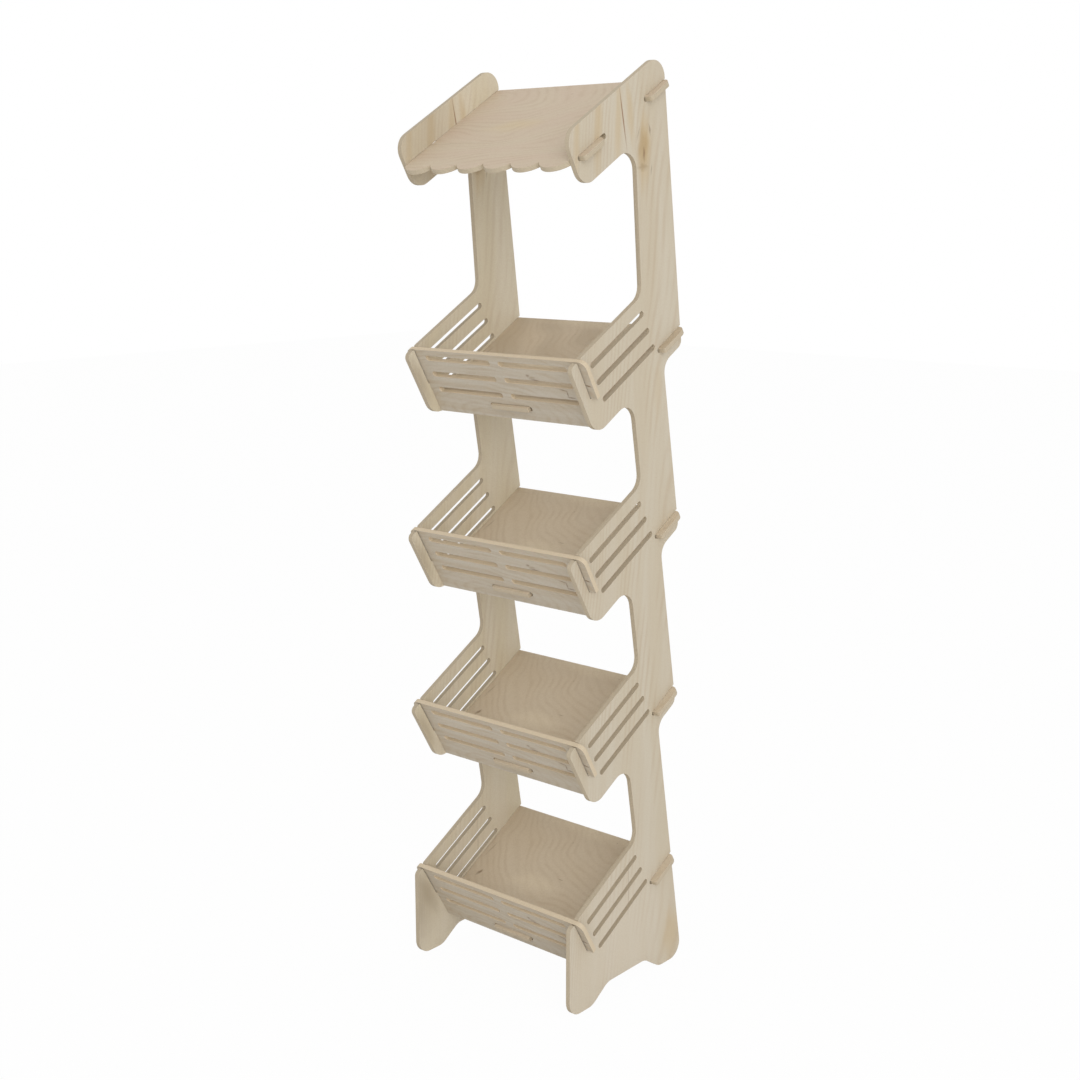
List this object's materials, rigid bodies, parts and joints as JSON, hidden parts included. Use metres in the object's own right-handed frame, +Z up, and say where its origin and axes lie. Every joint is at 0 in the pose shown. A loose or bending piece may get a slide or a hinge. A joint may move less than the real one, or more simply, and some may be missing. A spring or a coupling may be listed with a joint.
{
  "type": "display stand",
  "caption": "Free-standing slot-together plywood display stand with tilted slatted crates one above the other and a scalloped canopy.",
  "frame": {"origin": "middle of the bounding box, on the ground under the feet", "axes": "+Z up, +X to the right across the stand as seen from the front, crates open towards -Y"},
  "size_m": [0.429, 0.3618, 1.7195],
  "materials": {
    "side_ply": "matt pale plywood, unfinished",
    "floor_ply": "matt plywood with rotary-cut figure",
    "front_ply": "matt plywood, slightly grey",
    "canopy_ply": "matt plywood, faintly pink"
  },
  "bodies": {
    "stand": {"side_panel_left": "side_ply", "side_panel_right": "side_ply", "crate_front_1": "front_ply", "crate_front_2": "front_ply", "crate_front_3": "front_ply", "crate_front_4": "front_ply", "canopy": "canopy_ply"},
    "floor_1": {"crate_floor_1": "floor_ply"},
    "floor_2": {"crate_floor_2": "floor_ply"},
    "floor_3": {"crate_floor_3": "floor_ply"},
    "floor_4": {"crate_floor_4": "floor_ply"}
  },
  "joints": [
    {"name": "floor_1_slide", "type": "slide", "parent": "stand", "child": "floor_1", "axis": [0, 0.866, 0.5], "range_m": [0, 0.3]},
    {"name": "floor_2_slide", "type": "slide", "parent": "stand", "child": "floor_2", "axis": [0, 0.866, 0.5], "range_m": [0, 0.3]},
    {"name": "floor_3_slide", "type": "slide", "parent": "stand", "child": "floor_3", "axis": [0, 0.866, 0.5], "range_m": [0, 0.3]},
    {"name": "floor_4_slide", "type": "slide", "parent": "stand", "child": "floor_4", "axis": [0, 0.866, 0.5], "range_m": [0, 0.3]}
  ]
}
